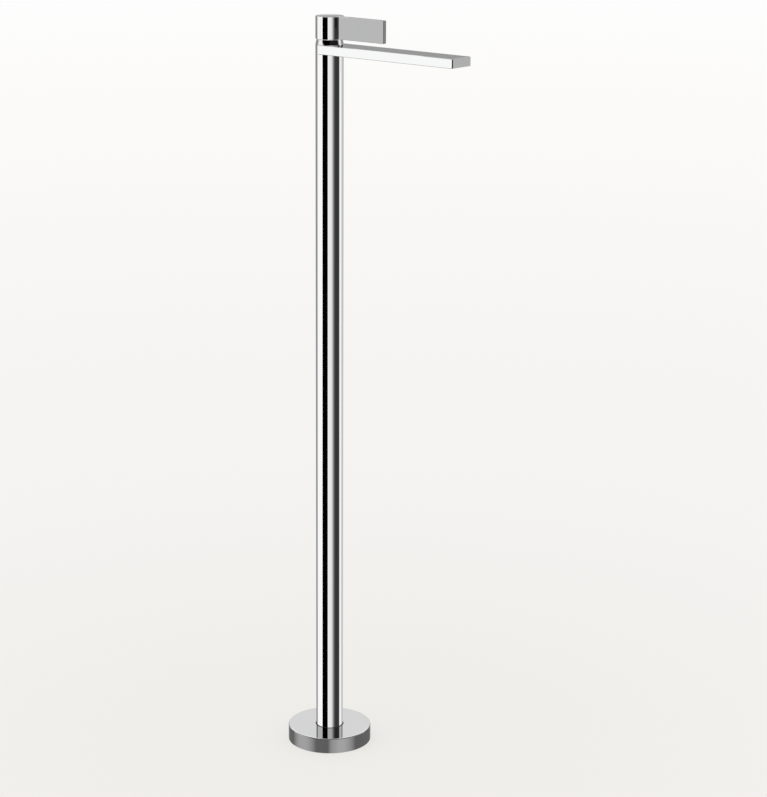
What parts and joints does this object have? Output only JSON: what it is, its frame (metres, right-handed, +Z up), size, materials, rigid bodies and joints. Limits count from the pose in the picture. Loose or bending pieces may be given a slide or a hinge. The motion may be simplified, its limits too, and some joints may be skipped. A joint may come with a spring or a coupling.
{
  "type": "floor-standing basin mixer",
  "caption": "Floor-standing basin mixer: slim round column on a floor flange, flat bar spout flush with the column, and a plate lever that turns and tilts.",
  "frame": {"origin": "centre of the floor bolt circle, on the floor, on the column's axis", "axes": "+Z up along the column, +X along the spout, +Y to the cold side"},
  "size_m": [0.298, 0.124, 1.09],
  "materials": {
    "chrome": "polished",
    "brass": "machined",
    "steel": "brushed",
    "dark_steel": "blackened",
    "black_rubber": "matte",
    "braided_hose": "fine metal braid",
    "white_plastic": "moulded",
    "grey_plastic": "moulded",
    "ceramic": "lapped"
  },
  "bodies": {
    "stand": {"base_plate": "steel", "floor_seal": "black_rubber", "foot_manifold": "brass", "manifold_screws": "steel", "column_tube": "chrome", "column_grub_screws": "dark_steel", "inlet_strainers": "white_plastic", "hot_hose": "braided_hose", "cold_hose": "braided_hose", "hose_ferrules": "steel", "hose_nipples": "brass", "hose_o_rings": "black_rubber", "valve_body": "brass", "valve_body_seal": "black_rubber", "spout_body": "chrome", "spout_o_rings": "black_rubber", "spout_lock_screw": "chrome", "aerator_housing": "chrome", "flow_regulator": "grey_plastic", "aerator_screen": "white_plastic", "aerator_seal": "black_rubber", "cartridge_base": "white_plastic", "cartridge_base_seals": "black_rubber", "fixed_disc": "ceramic", "cartridge_housing": "white_plastic", "cartridge_nut": "brass", "neck_ring": "chrome"},
    "rotor": {"turret": "white_plastic", "hinge_pin": "steel"},
    "discs": {"disc_carrier": "grey_plastic", "moving_disc": "ceramic"},
    "lever": {"stem": "steel", "stem_adapter": "white_plastic", "handle_cap": "chrome", "lever_plate": "chrome", "handle_grub_screw": "dark_steel", "screw_plug": "chrome"},
    "flange": {"flange_cover": "chrome", "flange_o_ring": "black_rubber"}
  },
  "joints": [
    {"name": "lever_turn", "type": "hinge", "parent": "stand", "child": "rotor", "pos_m": [0, 0, 1.039], "axis": [0, 0, 1], "range_deg": [-45, 45]},
    {"name": "lever_tilt", "type": "hinge", "parent": "rotor", "child": "lever", "pos_m": [0, 0, 1.039], "axis": [0, -1, 0], "range_deg": [0, 20]},
    {"name": "disc_slide", "type": "slide", "parent": "rotor", "child": "discs", "axis": [1, 0, 0], "range_m": [0, 0.0053]},
    {"name": "flange_lift", "type": "slide", "parent": "stand", "child": "flange", "axis": [0, 0, 1], "range_m": [0, 1.013]}
  ],
  "couplings": [
    {"joint": "disc_slide", "follows": "lever_tilt", "m_per_rad": 0.015}
  ]
}
